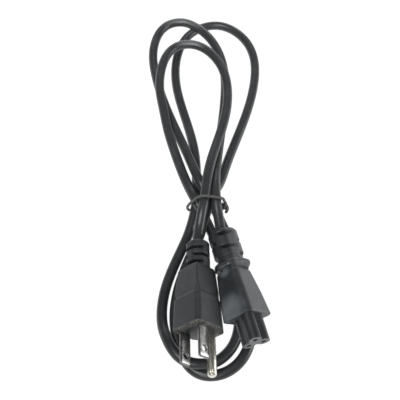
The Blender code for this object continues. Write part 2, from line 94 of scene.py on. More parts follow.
class Finish:
    # one material: its shader, its object coordinates and the nodes that feed them
    def __init__(self, name, **fixed):
        self.material = bpy.data.materials.new(name)
        self.material.use_nodes = True
        self.tree = self.material.node_tree
        self.shader = self.tree.nodes["Principled BSDF"]
        for socket, value in fixed.items():
            self.set(socket, value)
        self.place = self.node("ShaderNodeTexCoord", output="Object")

    def feed(self, socket, value):
        # link a Flow to a socket, or set the socket to a plain value
        if isinstance(value, Flow):
            self.tree.links.new(value.socket, socket)
        else:
            socket.default_value = value

    def node(self, kind, settings=None, values=None, output=0):
        # settings are set first; values are numbers, colours or Flows for the node's sockets
        made = self.tree.nodes.new(kind)
        for key, value in (settings or {}).items():
            setattr(made, key, value)
        for key, value in (values or {}).items():
            self.feed(made.inputs[key], value)
        return Flow(self, made.outputs[output])

    def set(self, socket, value):
        # one of the shader's own sockets
        self.feed(self.shader.inputs[socket], value)

    def stretched(self, scale, source=None):
        # coordinates times a scale, so that a pattern runs long where the scale is small
        return self.node("ShaderNodeMapping", None, {"Vector": source or self.place, "Scale": scale})

    def noise(self, scale, detail=2.0, rough=0.5, source=None):
        # cloudy values about 0.5, with scale patches to a metre
        values = {"Vector": source or self.place, "Scale": scale, "Detail": detail, "Roughness": rough}
        return self.node("ShaderNodeTexNoise", None, values)

    def dot(self, vector, direction):
        # the part of a vector that runs along a direction
        return self.node("ShaderNodeVectorMath", dict(operation="DOT_PRODUCT"), {0: vector, 1: direction}, 1)

    def along(self, point, direction):
        # metres from a point given in millimetres, measured along a direction
        return self.dot(self.place, direction) - float(np.dot(point, direction)) * mm

    def distance(self, point):
        # metres to a point given in millimetres
        return self.node("ShaderNodeVectorMath", dict(operation="DISTANCE"),
                         {0: self.place, 1: tuple(float(c) * mm for c in point)}, 1)

    def mix(self, factor, first, second):
        # the first colour at 0 and the second at 1
        return self.node("ShaderNodeMix", dict(data_type="RGBA"), {0: factor, 6: first, 7: second}, 2)

    def bump(self, height, distance, strength):
        # fine relief on the shader's normal, distance metres high
        self.set("Normal", self.node("ShaderNodeBump", None,
                                     {"Height": height, "Distance": distance, "Strength": strength}))


def grey(level, warm=0.0):
    # a near neutral colour; warm is above 0 for beige and below 0 for blue
    return (level * (1 + warm), level, level * (1 - warm), 1.0)


# Plastic of the plug, the connector and the nose: shines, colours, patterns to a metre, and relief.
# The side, patch and rim colours are painted highlights.
moulding = dict(
    plugShine=0.46, connectorShine=0.44, noseShine=0.36,
    dark=grey(0.017, -0.14), light=grey(0.03, -0.12), rim=(0.13, 0.125, 0.11, 1.0), side=grey(0.1, -0.06),
    highlightPatches=grey(0.13, -0.08), grain=2600.0, patches=140.0, rimBreakup=900.0, relief=0.04 * mm,
    rimDepth=(-0.9 * mm, -0.4 * mm), rimReach=(6.6 * mm, 8.6 * mm))


def mouldedPlastic(name, shine, face=None, side=None, highlightPatches=()):
    # satin black plastic: a fine spark texture and faint cloudy patches. Face is the (point, axis) of a front
    # face whose rim gets a painted highlight broken up by noise, side a (point, direction, width) past which
    # the plastic is painted greyer as the painted highlight of a lit face, and the last argument gives the
    # places and reaches of lighter patches that are painted highlights.
    finish = Finish(name, IOR=1.5)
    cloud = finish.noise(moulding["patches"], 3.0, 0.6)
    grain = finish.noise(moulding["grain"], 2.0, 0.6)
    colour = finish.mix(cloud.between(0.3, 0.75), moulding["dark"], moulding["light"])
    # painted highlight: past the plane the colour turns greyer, standing in for the light on that face
    if side:
        point, direction, width = side
        share = finish.along(point, direction).between(-width * mm, width * mm)
        colour = finish.mix(share * (0.55 + cloud * 0.6), colour, moulding["side"])
    # painted highlights: lighter patches round the given places
    for point, reach in highlightPatches:
        near = 1 - finish.distance(point).between(reach * 0.25 * mm, reach * mm)
        colour = finish.mix(near * (0.4 + cloud), colour, moulding["highlightPatches"])
    # painted highlight: a lighter band round the front face's rim, broken up by noise
    if face:
        depth, away = finish.along(*face), finish.distance(face[0])
        rim = depth.between(*moulding["rimDepth"]) * away.between(*moulding["rimReach"])
        rimBreakup = finish.noise(moulding["rimBreakup"], 3.0, 0.7).between(0.35, 0.65)
        colour = finish.mix(rim * rimBreakup, colour, moulding["rim"])
    finish.set("Base Color", colour)
    finish.set("Roughness", shine + (cloud - 0.5) * 0.10 + (grain - 0.5) * 0.12)
    finish.bump(grain, moulding["relief"], 0.6)
    return finish.material


# The cord's jacket; each painted sheen spot, a painted highlight, is a place and a reach in millimetres.
jacket = dict(
    dark=grey(0.018, -0.08), light=grey(0.046, -0.06), shine=0.34, streaks=30.0, haze=95.0,
    # the colour is painted lighter over this rise towards the back, as painted light
    paintedLightRise=(-140.0 * mm, 80.0 * mm), relief=0.05 * mm, upwards=(0.0, -0.45, 0.9), paintedSheen=grey(0.2, -0.04),
    paintedSheenSpots=(((-14.0, 120.0, 9.0), 17.0), ((-9.0, 92.5, 16.0), 12.0)))


def jacketPlastic():
    # extruded jacket: fine streaks along the cord, on its own UV, a random haze, a colour painted lighter
    # towards the three loops as painted light, and a painted grey sheen, a painted highlight, on the upper
    # side of two of them
    finish = Finish("cord_jacket", IOR=1.5)
    uv = finish.node("ShaderNodeTexCoord", output="UV")
    streak = finish.noise(jacket["streaks"], 3.0, 0.6, finish.stretched((9.0, 0.35, 1.0), uv))
    haze = finish.noise(jacket["haze"], 3.0, 0.55)
    # painted light: the colour rises lighter towards the back, where the loops are
    far = finish.along((0.0, 0.0, 0.0), (0.0, 1.0, 0.0)).between(*jacket["paintedLightRise"])
    colour = finish.mix(haze.between(0.35, 0.75) * 0.3 + far * 0.7, jacket["dark"], jacket["light"])
    # painted highlight: a grey sheen on the upward side near two places
    normal = finish.node("ShaderNodeNewGeometry", output="Normal")
    upward = finish.dot(normal, jacket["upwards"]).between(0.8, 1.0)
    for place, reach in jacket["paintedSheenSpots"]:
        near = 1 - finish.distance(place).between(reach * 0.4 * mm, reach * mm)
        colour = finish.mix(near * upward * streak.between(0.2, 0.7), colour, jacket["paintedSheen"])
    finish.set("Base Color", colour)
    finish.set("Roughness", jacket["shine"] + (haze - 0.5) * 0.14 + (streak - 0.5) * 0.10)
    finish.bump(streak * 0.6 + haze * 0.4, jacket["relief"], 0.5)
    return finish.material


# The metals and the tie's coat: each has a bright and a dull tone.
nickel = dict(
    blade=((0.27, 0.275, 0.27, 1.0), (0.15, 0.15, 0.145, 1.0)),
    pin=((0.82, 0.79, 0.72, 1.0), (0.62, 0.6, 0.54, 1.0)),
    shine=0.22, brush=900.0, patches=300.0, relief=0.03 * mm)
brass = dict(
    bright=(0.62, 0.47, 0.24, 1.0), dull=(0.38, 0.27, 0.12, 1.0), shine=0.3, patches=500.0, relief=0.03 * mm)
coat = dict(dark=grey(0.05), light=grey(0.1, 0.02), shine=0.5, patches=700.0, relief=0.04 * mm)


def nickelPlate(name, bright, dull):
    # satin nickel: brushed, with cloudy wear between a bright and a dull tone
    finish = Finish(name, Metallic=1.0)
    brushed = finish.noise(nickel["brush"], 3.0, 0.6, finish.stretched((1.0, 0.06, 1.0)))
    cloud = finish.noise(nickel["patches"], 4.0, 0.65)
    finish.set("Base Color", finish.mix(cloud.between(0.35, 0.65), bright, dull))
    finish.set("Roughness", nickel["shine"] + cloud * 0.16 + (brushed - 0.5) * 0.24)
    finish.bump(brushed, nickel["relief"], 0.5)
    return finish.material


def brassSpring():
    # dull brass, for the three contacts
    finish = Finish("brass_spring", Metallic=1.0)
    cloud = finish.noise(brass["patches"], 3.0, 0.6)
    finish.set("Base Color", finish.mix(cloud, brass["bright"], brass["dull"]))
    finish.set("Roughness", brass["shine"] + cloud * 0.2)
    finish.bump(cloud, brass["relief"], 0.5)
    return finish.material


def tiePlastic():
    # dull coated wire, lighter than the cord
    finish = Finish("tie_plastic", IOR=1.45)
    cloud = finish.noise(coat["patches"], 3.0, 0.6)
    finish.set("Base Color", finish.mix(cloud.between(0.3, 0.7), coat["dark"], coat["light"]))
    finish.set("Roughness", coat["shine"] + (cloud - 0.5) * 0.2)
    finish.bump(cloud, coat["relief"], 0.5)
    return finish.material


def splineThrough(points, perSpan=24):
    # natural cubic spline by chord length: in each span, the two ends blended linearly plus a cubic term of
    # their second derivatives, which one linear system makes continuous
    points = np.array(points, float)
    knots = np.concatenate([[0], np.cumsum(np.linalg.norm(np.diff(points, axis=0), axis=1))])
    spans, count = np.diff(knots), len(points)
    system, right = np.eye(count), np.zeros_like(points)
    inner = np.arange(1, count - 1)
    system[inner, inner - 1], system[inner, inner + 1] = spans[:-1], spans[1:]
    system[inner, inner] = 2 * (spans[:-1] + spans[1:])
    slopes = np.diff(points, axis=0) / spans[:, None]
    right[inner] = 6 * np.diff(slopes, axis=0)
    bend = np.linalg.solve(system, right)
    share = np.linspace(0, 1, perSpan, endpoint=False)[None, :, None]
    span = spans[:, None, None]
    first, last = points[:-1, None], points[1:, None]
    bent = ((1 - share) ** 3 - (1 - share)) * bend[:-1, None] + (share ** 3 - share) * bend[1:, None]
    curve = (1 - share) * first + share * last + bent * span ** 2 / 6
    return np.concatenate([curve.reshape(-1, 3), points[-1:]])


def evenly(curve, step):
    # the same line with points a step apart
    along = np.concatenate([[0], np.cumsum(np.linalg.norm(np.diff(curve, axis=0), axis=1))])
    wanted = np.linspace(0, along[-1], int(math.ceil(along[-1] / step)) + 1)
    return np.stack([np.interp(wanted, along, curve[:, k]) for k in range(3)], axis=1)


def framesAlong(path):
    # tangents, and two normals that turn as little as possible: each is the last one with its part along the
    # new tangent taken away
    tangents = np.gradient(path, axis=0)
    tangents /= np.linalg.norm(tangents, axis=1)[:, None]
    normal = np.cross(tangents[0], (0.0, 0.0, 1.0))
    normals = np.empty_like(tangents)
    for k, tangent in enumerate(tangents):
        normal = normal - tangent * (normal @ tangent)
        normal = normals[k] = normal / np.linalg.norm(normal)
    return tangents, normals, np.cross(tangents, normals)


def gridMesh(name, grid, material, uv=None, sharp=40, loop=False):
    # rows x columns of points in millimetres, where every row closes into a ring. The first and last rows are
    # closed by fans to their middles, or joined to each other when the surface is a loop.
    rows, columns = grid.shape[:2]
    points = grid.reshape(-1, 3)
    here = np.arange(rows * columns).reshape(rows, columns)
    right = np.roll(here, -1, axis=1)
    last = rows if loop else rows - 1
    nextHere, nextRight = np.roll(here, -1, axis=0)[:last], np.roll(right, -1, axis=0)[:last]
    quads = np.stack([here[:last], right[:last], nextRight, nextHere], axis=-1).reshape(-1, 4)
    fans = []
    for row, flip in () if loop else ((0, True), (rows - 1, False)):
        fan = np.stack([here[row], right[row], np.full(columns, len(points))], axis=-1)
        fans.append(fan[:, ::-1] if flip else fan)
        points = np.concatenate([points, grid[row].mean(0)[None]])
    triangles = np.concatenate([quads[:, :3], quads[:, (0, 2, 3)], *fans])
    a, b, c = (points[triangles[:, k]] for k in range(3))
    inwards = np.einsum("ij,ij->i", a, np.cross(b, c)).sum() < 0  # the signed volume is below 0
    if inwards:
        quads, fans = quads[:, ::-1], [fan[:, ::-1] for fan in fans]
    mesh = bpy.data.meshes.new(name)
    faces = quads.tolist() + [face for fan in fans for face in fan.tolist()]
    mesh.from_pydata((points * mm).tolist(), [], faces)
    if uv is not None:
        layer = mesh.uv_layers.new(name="along")
        u = np.arange(columns + 1) / columns
        u0, u1 = np.tile(u[:-1], last), np.tile(u[1:], last)
        v0, v1 = np.repeat(uv[:-1], columns), np.repeat(uv[1:], columns)
        around = np.stack([u0, v0, u1, v0, u1, v1, u0, v1], -1).reshape(-1, 4, 2)
        corners = np.zeros((len(mesh.loops), 2))
        corners[:len(quads) * 4] = (around[:, ::-1] if inwards else around).reshape(-1, 2)
        layer.data.foreach_set("uv", corners.ravel())
    mesh.update()
    return finishPiece(name, mesh, material, sharp)


def finishPiece(name, mesh, material, sharp):
    # smooth shading, with edges sharp past an angle in degrees
    mesh.materials.append(material)
    mesh.shade_smooth()
    if sharp:
        mesh.set_sharp_from_angle(angle=math.radians(sharp))
    obj = bpy.data.objects.new(name, mesh)
    bpy.context.scene.collection.objects.link(obj)
    return obj


def tubeAlong(name, path, radius, material, sides=24):
    # a circle carried along the path: point = centre + radius x (cos a x normal + sin a x binormal)
    _, normals, binormals = framesAlong(path)
    turn = np.linspace(0, 2 * np.pi, sides, endpoint=False)[None, :, None]
    ring = np.cos(turn) * normals[:, None] + np.sin(turn) * binormals[:, None]
    along = np.concatenate([[0], np.cumsum(np.linalg.norm(np.diff(path, axis=0), axis=1))])
    return gridMesh(name, path[:, None] + ring * radius, material, uv=along / 10)


# How the plug and the connector lie, in millimetres and degrees. In their own frames Y runs out of the front
# face and Z towards the earth contact.
gap = 0.3  # between a moulding's end and the cord
plug = dict(
    place=(-5.9, -105.6, 19.6), turn=(176.8, -45.3, 3.8), middle=4.5, edge=0.8, backEdge=0.5,
    faceWidth=19.8, faceHeight=21.9, bladeChamfer=1.8, earthChamfer=(4.1, 6.2),
    gripLength=16.7, gripWidth=18.8, gripHeight=20.6, step=0.55, waistLength=5.4, waistLess=1.9,
    shoulderLength=34.4, shoulderWidth=14.4, shoulderHeight=16.8,
    reliefLength=15.9, reliefDiameter=12.4, reliefRise=1.0, reliefEdge=1.5,
    slotWidth=1.7, slotPitch=4.15, firstSlot=2.5, slotCore=3.2, slotLow=1.6, slotAcross=20.0)
connector = dict(
    place=(21.6, -97.5, 14.3), turn=(0.0, -4.0, -165.8), edge=0.8,
    width=24.2, top=9.7, bottom=8.2, flat=1.6, ridgeShift=0.9, cornerDrop=1.0, leftOut=0.8,
    bodyLength=26.9, neckWidth=17.6, neckTop=7.0, neckBottom=6.4, waist=0.4,
    grooveLength=1.6, grooveWidth=14.6, grooveAside=0.9,
    collarWidth=19.2, collarHeight=14.2, collarLength=3.4, collarEdge=1.8,
    stemLength=3.6, stemWidth=13.6, stemLess=1.2, stemChamfer=3.8,
    reliefLength=15.4, reliefWidth=16.0, reliefHeight=14.0, reliefChamfer=4.4,
    lastSlot=3.6, slotPitch=4.1, slotWidth=2.3, slotCore=3.1, slotAbove=(3.2, 4.9), slotBeside=(5.0, 4.0),
    # the last entry lists the places and reaches of painted highlight patches
    noseEnd=13.6, ridgeAt=-1.6, highlightPatches=(((7.5, -4.5, 3.0), 11.0), ((5.8, -26.2, 3.6), 4.5)))


def ownFrame(end):
    # the matrix that takes a moulding from its own frame to where it lies
    turn = Euler([math.radians(angle) for angle in end["turn"]]).to_matrix().to_4x4()
    return np.array(Matrix.Translation(end["place"]) @ turn)


def placed(points, end):
    # points of a moulding's own frame, turned and then moved into the scene
    matrix = ownFrame(end)
    return np.asarray(points, float) @ matrix[:3, :3].T + matrix[:3, 3]


def turned(direction, end):
    # a direction of a moulding's own frame, turned into the scene
    return tuple((ownFrame(end)[:3, :3] @ direction).tolist())


# The cord's middle line, from the plug to the connector, through listed points.
cord = dict(
    diameter=5.65, straight=2.5, floorGap=0.1, ring=1.1,
    route=(
        (-2.9, -43.9, 16.2), (-1.6, -36.9, 19.1), (-0.2, -28.8, 19.9), (1.1, -17.6, 20.8),
        (7.1, 10.5, 18.4), (11.6, 27.9, 17.4), (14.2, 55.1, 16.5), (5.8, 83.4, 16.0), (-8.0, 93.5, 16.0),
        (-15.5, 92.8, 16.0), (-27.9, 66.5, 16.0), (-27.8, 53.9, 16.0), (-25.5, 40.8, 15.0),
        (-22.1, 24.0, 13.5), (-18.1, 9.9, 12.0), (-8.4, -17.3, 10.4), (-4.4, -26.5, 11.1),
        (0.6, -34.6, 5.3), (6.4, -47.1, 2.9), (12.7, -62.7, 2.9), (17.4, -84.6, 2.9), (14.1, -107.5, 3.0),
        (10.3, -112.6, 3.6), (5.2, -116.7, 5.0), (-0.6, -118.8, 7.4), (-10.4, -117.8, 9.6),
        (-19.5, -105.9, 7.8), (-22.1, -97.3, 4.9), (-21.7, -78.2, 2.9), (-9.7, -43.3, 2.9),
        (-6.7, -33.0, 4.5), (-5.3, -25.1, 5.3), (-4.9, -15.2, 4.5), (-6.2, 15.9, 2.9), (-18.1, 69.2, 2.9),
        (-17.4, 98.9, 2.9), (-7.1, 119.2, 2.9), (9.7, 125.2, 2.9), (25.7, 114.3, 2.9), (31.8, 67.5, 2.9),
        (22.0, 32.0, 2.9), (16.5, 16.0, 3.4), (11.9, 0.4, 6.0), (7.5, -13.9, 9.3), (4.5, -20.9, 11.8),
        (3.2, -26.5, 12.6), (0.5, -34.7, 13.3), (-3.1, -45.2, 6.4), (-5.9, -50.9, 3.4), (-8.3, -56.9, 2.9),
        (-15.4, -99.7, 2.9), (-2.2, -122.5, 2.9), (8.9, -122.0, 2.9), (19.2, -113.5, 2.9),
        (24.1, -88.6, 2.9), (14.0, -46.1, 2.9), (10.2, -37.2, 3.2), (6.8, -29.3, 4.8), (3.4, -21.7, 5.2),
        (-0.6, -15.6, 9.0), (-4.8, -6.4, 10.1), (-9.3, 6.6, 9.0), (-19.3, 32.5, 8.8), (-31.9, 75.0, 8.8),
        (-32.9, 102.7, 8.8), (-22.6, 120.6, 8.8), (-14.4, 121.9, 8.8), (-6.0, 117.7, 8.8),
        (11.3, 86.6, 8.8), (12.9, 55.3, 8.8), (6.3, -8.1, 14.5), (6.3, -30.3, 17.7), (7.0, -35.9, 16.2),
    ))

tie = dict(
    radius=0.8, ring=0.5, twistFrom=(11.0, -28.1, 12.2), twistTo=(12.6, -29.8, 7.6),
    twistRadius=0.95, twistTurns=0.75, twistPoints=9,
    route=(
        (10.7, -28.4, 16.2), (9.8, -29.3, 19.9), (6.7, -30.0, 22.2), (3.2, -30.3, 23.6),
        (-0.4, -30.3, 24.1), (-3.4, -29.8, 22.6), (-5.4, -29.0, 18.6), (-7.8, -27.6, 13.4),
        (-9.5, -26.6, 8.6), (-9.9, -25.8, 4.2), (-8.2, -25.4, 1.3), (-5.6, -25.2, 0.8), (0.0, -25.2, 0.8),
        (6.0, -25.3, 0.8), (8.8, -25.5, 1.5), (10.3, -26.0, 4.4), (10.5, -26.8, 8.2),
    ))


def rounded(corners, radius, perCorner=6, perFlat=5):
    # every corner of each row's outline becomes a quadratic arc, (1-t)^2 start + 2t(1-t) corner + t^2 finish,
    # that takes less than half of each side, and the flats between the arcs are divided evenly
    before, after = np.roll(corners, 1, axis=1) - corners, np.roll(corners, -1, axis=1) - corners
    beforeLength = np.linalg.norm(before, axis=2, keepdims=True)
    afterLength = np.linalg.norm(after, axis=2, keepdims=True)
    radius = np.asarray(radius, float).reshape(-1, 1, 1)
    start = corners + before / beforeLength * np.minimum(radius, beforeLength * 0.45)
    finish = corners + after / afterLength * np.minimum(radius, afterLength * 0.45)
    t = np.linspace(0, 1, perCorner + 1)[None, None, :, None]
    arc = (1 - t) ** 2 * start[:, :, None] + 2 * t * (1 - t) * corners[:, :, None]
    arc = arc + t ** 2 * finish[:, :, None]
    s = np.linspace(0, 1, perFlat + 2)[1:-1][None, None, :, None]
    flat = (1 - s) * finish[:, :, None] + s * np.roll(start, -1, axis=1)[:, :, None]
    return np.concatenate([arc, flat], axis=2).reshape(len(corners), -1, 2)


def cutBox(width, height, lower, upper=None, x=0.0, z=0.0):
    # eight corners of a box section with its lower and upper corners cut off; upper is (along x, along z)
    w, h = width / 2, height / 2
    dx, dz = upper or (lower, lower)
    corners = [(w, -h + lower), (w, h - dz), (w - dx, h), (-w + dx, h),
               (-w, h - dz), (-w, -h + lower), (-w + lower, -h), (w - lower, -h)]
    return np.array(corners) + (x, z)


def lozenge(width, top, bottom, flat, side=0.8, skew=1.0):
    # eight corners of a diamond section with narrow flats; skew moves its ridge over, lowers one side corner
    # and moves the other one out
    w, ridge, drop = width / 2, connector["ridgeShift"] * skew, connector["cornerDrop"] * skew
    out = w + connector["leftOut"] * skew
    return np.array([(out, -side), (out, side), (flat + ridge, top), (-flat + ridge, top), (-w, side - drop),
                     (-w, -side - drop), (-flat * 1.6, -bottom), (flat * 1.6, -bottom)])


# How finely a moulding is divided, and how its slots begin: rows beside each edge, the edge's own length and
# how far the floor takes to fade out at a slot's end.
skin = dict(step=0.5, sharp=30, besideEdge=np.array([-0.14, -0.1, -0.05, 0.0, 0.05]), edge=0.12, fade=0.5)


def moulded(name, stations, end, material, slots):
    # a moulding's skin: each row is the rounded outline at one place along Y, its corners worked out between
    # the stations on both sides; where a relief slot runs, the outline is drawn in to the slot's floor:
    # centre + offset x (1 + (limit / reach - 1) x depth x fade)
    places = np.array([row[0] for row in stations])
    rows = [places]
    rows += [np.linspace(a, b, max(2, int(abs(a - b) / skin["step"]))) for a, b in zip(places, places[1:])]
    for slot in slots:
        rows += [slot["y"] + side * slot["width"] / 2 - skin["besideEdge"] for side in (-1, 1)]
    y = np.unique(np.round(np.concatenate(rows), 4))[::-1]
    y = y[(y <= places.max()) & (y >= places.min())]
    flat = np.stack([row[1] for row in stations]).reshape(len(stations), -1)
    between = np.stack([np.interp(-y, -places, flat[:, k]) for k in range(flat.shape[1])], axis=1)
    radius = np.interp(-y, -places, [row[2] for row in stations])
    outline = rounded(between.reshape(len(y), -1, 2), radius)
    for slot in slots:
        centre, towards = np.array(slot["centre"], float), np.array(slot["towards"], float)
        offset = outline - centre
        reach = np.linalg.norm(offset, axis=2)
        facing = offset @ towards / reach
        limit = np.maximum(slot["core"], slot["low"] / np.maximum(facing, 0.01))
        limit = np.where(facing > 0.01, np.minimum(reach, limit), reach)
        depth = np.clip((slot["width"] / 2 - np.abs(y - slot["y"])) / skin["edge"] + 0.5, 0, 1)
        aside = np.abs(offset @ np.array((towards[1], -towards[0])))
        fade = np.clip((slot["across"] - aside) / skin["fade"] + 0.5, 0, 1)
        share = (depth * depth * (3 - 2 * depth))[:, None] * fade
        scale = (reach + (limit - reach) * share) / reach
        outline = centre + offset * scale[..., None]
    y = np.broadcast_to(y[:, None], outline.shape[:2])
    grid = np.stack([outline[..., 0], y, outline[..., 1]], axis=-1)
    return gridMesh(name, placed(grid, end), material, sharp=skin["sharp"])


print("materials")
# the plug's front face, whose rim carries a painted highlight
plugFront = (placed((0.0, 0.0, plug["middle"]), plug), turned((0, 1, 0), plug))
# where the connector's lit side begins to be painted greyer as a painted highlight
ridge = placed((connector["ridgeShift"] + connector["ridgeAt"], 0.0, 0.0), connector)
# the painted highlight patches, placed on the connector
highlightPlaces = [(placed(place, connector), reach) for place, reach in connector["highlightPatches"]]
noseEnd = placed((0.0, connector["noseEnd"], 0.0), connector)
plugPlastic = mouldedPlastic("plug_plastic", moulding["plugShine"], face=plugFront)
connectorPlastic = mouldedPlastic("connector_plastic", moulding["connectorShine"], highlightPatches=highlightPlaces,
                                  side=(ridge, turned((-1, 0, 0), connector), 1.2))
# the nose's end face is painted greyer as a painted highlight
nosePlastic = mouldedPlastic("nose_plastic", moulding["noseShine"],
                             side=(noseEnd, turned((0, 1, 0), connector), 0.15))
jacketFinish = jacketPlastic()
bladeNickel = nickelPlate("blade_nickel", *nickel["blade"])
pinNickel = nickelPlate("pin_nickel", *nickel["pin"])
brassFinish = brassSpring()
tieFinish = tiePlastic()

print("cord")
plugEnd = plug["shoulderLength"] + plug["reliefLength"]
reliefX, reliefZ = plug["reliefRise"] * math.sqrt(0.5), -plug["reliefRise"] * math.sqrt(0.5)
connectorEnd = sum(connector[part + "Length"] for part in ("body", "groove", "collar", "stem", "relief"))


def cordLine():
    # straight out of the plug, through the chosen points and straight into the connector, all above the floor
    outs = (gap + cord["straight"], gap)
    lead, start = placed([(reliefX, -plugEnd - out, plug["middle"] + reliefZ) for out in outs], plug)
    farLead, finish = placed([(0, -connectorEnd - out, 0) for out in outs], connector)
    line = splineThrough([lead, *cord["route"], farLead])
    line[:, 2] = np.maximum(line[:, 2], cord["diameter"] / 2 + cord["floorGap"])
    return evenly(np.concatenate([[start], line, [finish]]), cord["ring"])


cordPath = cordLine()
cordPiece = tubeAlong("cord_jacket", cordPath, cord["diameter"] / 2, jacketFinish)
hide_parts("cord")

print("plug")


def plugSection(width, height, less=0.0, bladeChamfer=plug["bladeChamfer"], earth=1.0):
    # the section drawn in by "less" all round; earth scales the two corners beside the pin
    upper = [leg * earth for leg in plug["earthChamfer"]]
    return cutBox(width - 2 * less, height - 2 * less, bladeChamfer, upper, 0, plug["middle"])


def plugRelief(less, share):
    # the strain relief's section; share is how far along the relief, which rises to one side
    size = plug["reliefDiameter"] - less
    return cutBox(size, size, size * 0.29, None, reliefX * share, plug["middle"] + reliefZ * share)


def plugSlots():
    # three places along the relief, from both blade sides and then from left and right
    slots = []
    for index in range(3):
        back = plug["firstSlot"] + index * plug["slotPitch"]
        share = back / plug["reliefLength"]
        towards = (0, -1) if index % 2 == 0 else (1, 0)
        for side in (1, -1):
            slots.append(dict(
                y=-plug["shoulderLength"] - back, width=plug["slotWidth"], core=plug["slotCore"],
                low=plug["slotLow"], across=plug["slotAcross"],
                centre=(reliefX * share, plug["middle"] + reliefZ * share),
                towards=(side * towards[0], side * towards[1])))
    return slots


def plugStations():
    # (place along Y, section, edge radius), from the front face to the cord's end
    size, edge, backEdge, reliefEdge = plug, plug["edge"], plug["backEdge"], plug["reliefEdge"]
    grip, shoulder = -size["gripLength"], -size["shoulderLength"]
    faceSize = (size["faceWidth"], size["faceHeight"])
    gripSize = (size["gripWidth"], size["gripHeight"])
    waistSize = [length - size["waistLess"] for length in gripSize]
    backSize = (size["shoulderWidth"], size["shoulderHeight"])
    return [
        (0.0, plugSection(*faceSize, 0.7), edge),  # the rounded front edge
        (-0.2, plugSection(*faceSize, 0.3), edge),
        (-0.7, plugSection(*faceSize), edge),
        (grip + 0.15, plugSection(*gripSize), edge),  # the step at the grip's end
        (grip - 0.7, plugSection(*gripSize, size["step"], 1.7), edge),
        (grip - size["waistLength"], plugSection(*waistSize, 0, 0.5, 0.8), backEdge),
        (shoulder + 1.2, plugSection(*backSize, 0, 0.5, 0.65), backEdge),  # the rounded back edge
        (shoulder + 0.4, plugSection(*backSize, 0.3, 0.5, 0.6), backEdge),
        (shoulder, plugSection(*backSize, 0.9, 0.6, 0.5), 0.6),
        (shoulder - 0.2, plugRelief(0, 0), reliefEdge),  # the strain relief
        (-plugEnd + 1.2, plugRelief(0, 0.94), reliefEdge),
        (-plugEnd + 0.3, plugRelief(1.2, 0.98), reliefEdge),
        (-plugEnd, plugRelief(2.6, 1.0), reliefEdge),
    ]


plugPiece = moulded("plug_moulding", plugStations(), plug, plugPlastic, plugSlots())
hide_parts("plug_body")

print("connector")


def connectorStations():
    # (place along Y, section, edge radius), from the nose's end to the cord's end
    size, edge, flat = connector, connector["edge"], connector["flat"]
    width, top, bottom = front = np.array((size["width"], size["top"], size["bottom"]))
    neck = np.array((size["neckWidth"], size["neckTop"], size["neckBottom"]))
    body = size["bodyLength"]
    flange = body + size["grooveLength"]
    collar = flange + size["collarLength"]
    stemEnd = collar + size["stemLength"]
    wide, half, collarEdge = size["collarWidth"], size["collarHeight"] / 2, size["collarEdge"]
    collarRim = lozenge(wide - 1.8, half - 0.4, half - 0.8, flat * 2, 2.6, 0)
    collarMiddle = lozenge(wide, half, half - 0.3, flat * 2.2, 3.0, 0)
    collarBack = lozenge(wide - 3.6, half - 1.0, half - 1.4, flat * 2, 2.6, 0)
    groove = size["grooveWidth"] / 2
    grooveFloor = lozenge(groove * 2, groove - 0.8, groove - 1.4, flat * 1.6, 1.6, 0)
    grooveFloor = grooveFloor - (size["grooveAside"], 0)
    stem = cutBox(size["stemWidth"], size["stemWidth"] - size["stemLess"], size["stemChamfer"])
    wide, high, chamfer = size["reliefWidth"], size["reliefHeight"], size["reliefChamfer"]
    return [
        (0.0, lozenge(width - 1.2, top - 0.6, bottom - 0.6, flat), edge),  # the rounded front edge
        (-0.2, lozenge(width - 0.5, top - 0.25, bottom - 0.25, flat), edge),
        (-0.6, lozenge(width, top, bottom, flat), edge),
        (-body * 0.48, lozenge(*(front + (neck - front) * size["waist"]), flat), edge),
        (-body * 0.9, lozenge(*(neck + (0.3, 0.1, 0.0)), flat * 1.1), edge),
        (-body + 1.5, lozenge(*neck, flat * 1.2), 0.9),  # the neck, rounded down to the groove
        (-body + 0.8, lozenge(*(neck - (0.5, 0.2, 0.3)), flat * 1.3), 1.1),
        (-body + 0.3, lozenge(*(neck - (1.2, 0.5, 0.6)), flat * 1.3), 1.1),
        (-body, lozenge(*(neck - (2.2, 0.9, 1.1)), flat * 1.4), 1.4),
        (-body - 0.2, grooveFloor, 1.6),
        (-flange + 0.2, grooveFloor, 1.6),
        (-flange, collarRim, 1.6),  # the collar
        (-flange - 0.8, collarMiddle, collarEdge),
        (-collar + 1.2, collarMiddle, collarEdge),
        (-collar + 0.3, collarRim, collarEdge),
        (-collar, collarBack, collarEdge),
        (-collar - 0.2, stem, 2.8),  # the stem
        (-stemEnd + 0.3, stem, 2.8),
        (-stemEnd, cutBox(wide - 1.2, high - 1.2, chamfer - 0.1), 3.0),  # the strain relief
        (-stemEnd - 0.5, cutBox(wide, high, chamfer), 3.0),
        (-connectorEnd + 1.2, cutBox(wide, high, chamfer), 3.0),
        (-connectorEnd + 0.4, cutBox(wide - 0.8, high - 0.8, chamfer - 0.2), 2.8),
        (-connectorEnd, cutBox(wide - 2.4, high - 2.4, chamfer - 0.6), 2.6),
    ]


def connectorSlots():
    # from the cord's end: above and below, then both sides, twice over
    slots = []
    for index in range(4):
        y = -connectorEnd + connector["lastSlot"] + index * connector["slotPitch"]
        towards, kind = ((0, 1), "slotAbove") if index % 2 == 0 else ((1, 0), "slotBeside")
        low, across = connector[kind]
        for side in (1, -1):
            slots.append(dict(
                y=y, width=connector["slotWidth"], core=connector["slotCore"], low=low, across=across,
                centre=(0, 0), towards=(side * towards[0], side * towards[1])))
    return slots


connectorPiece = moulded("connector_moulding", connectorStations(), connector, connectorPlastic,
                         connectorSlots())
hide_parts("connector_body")

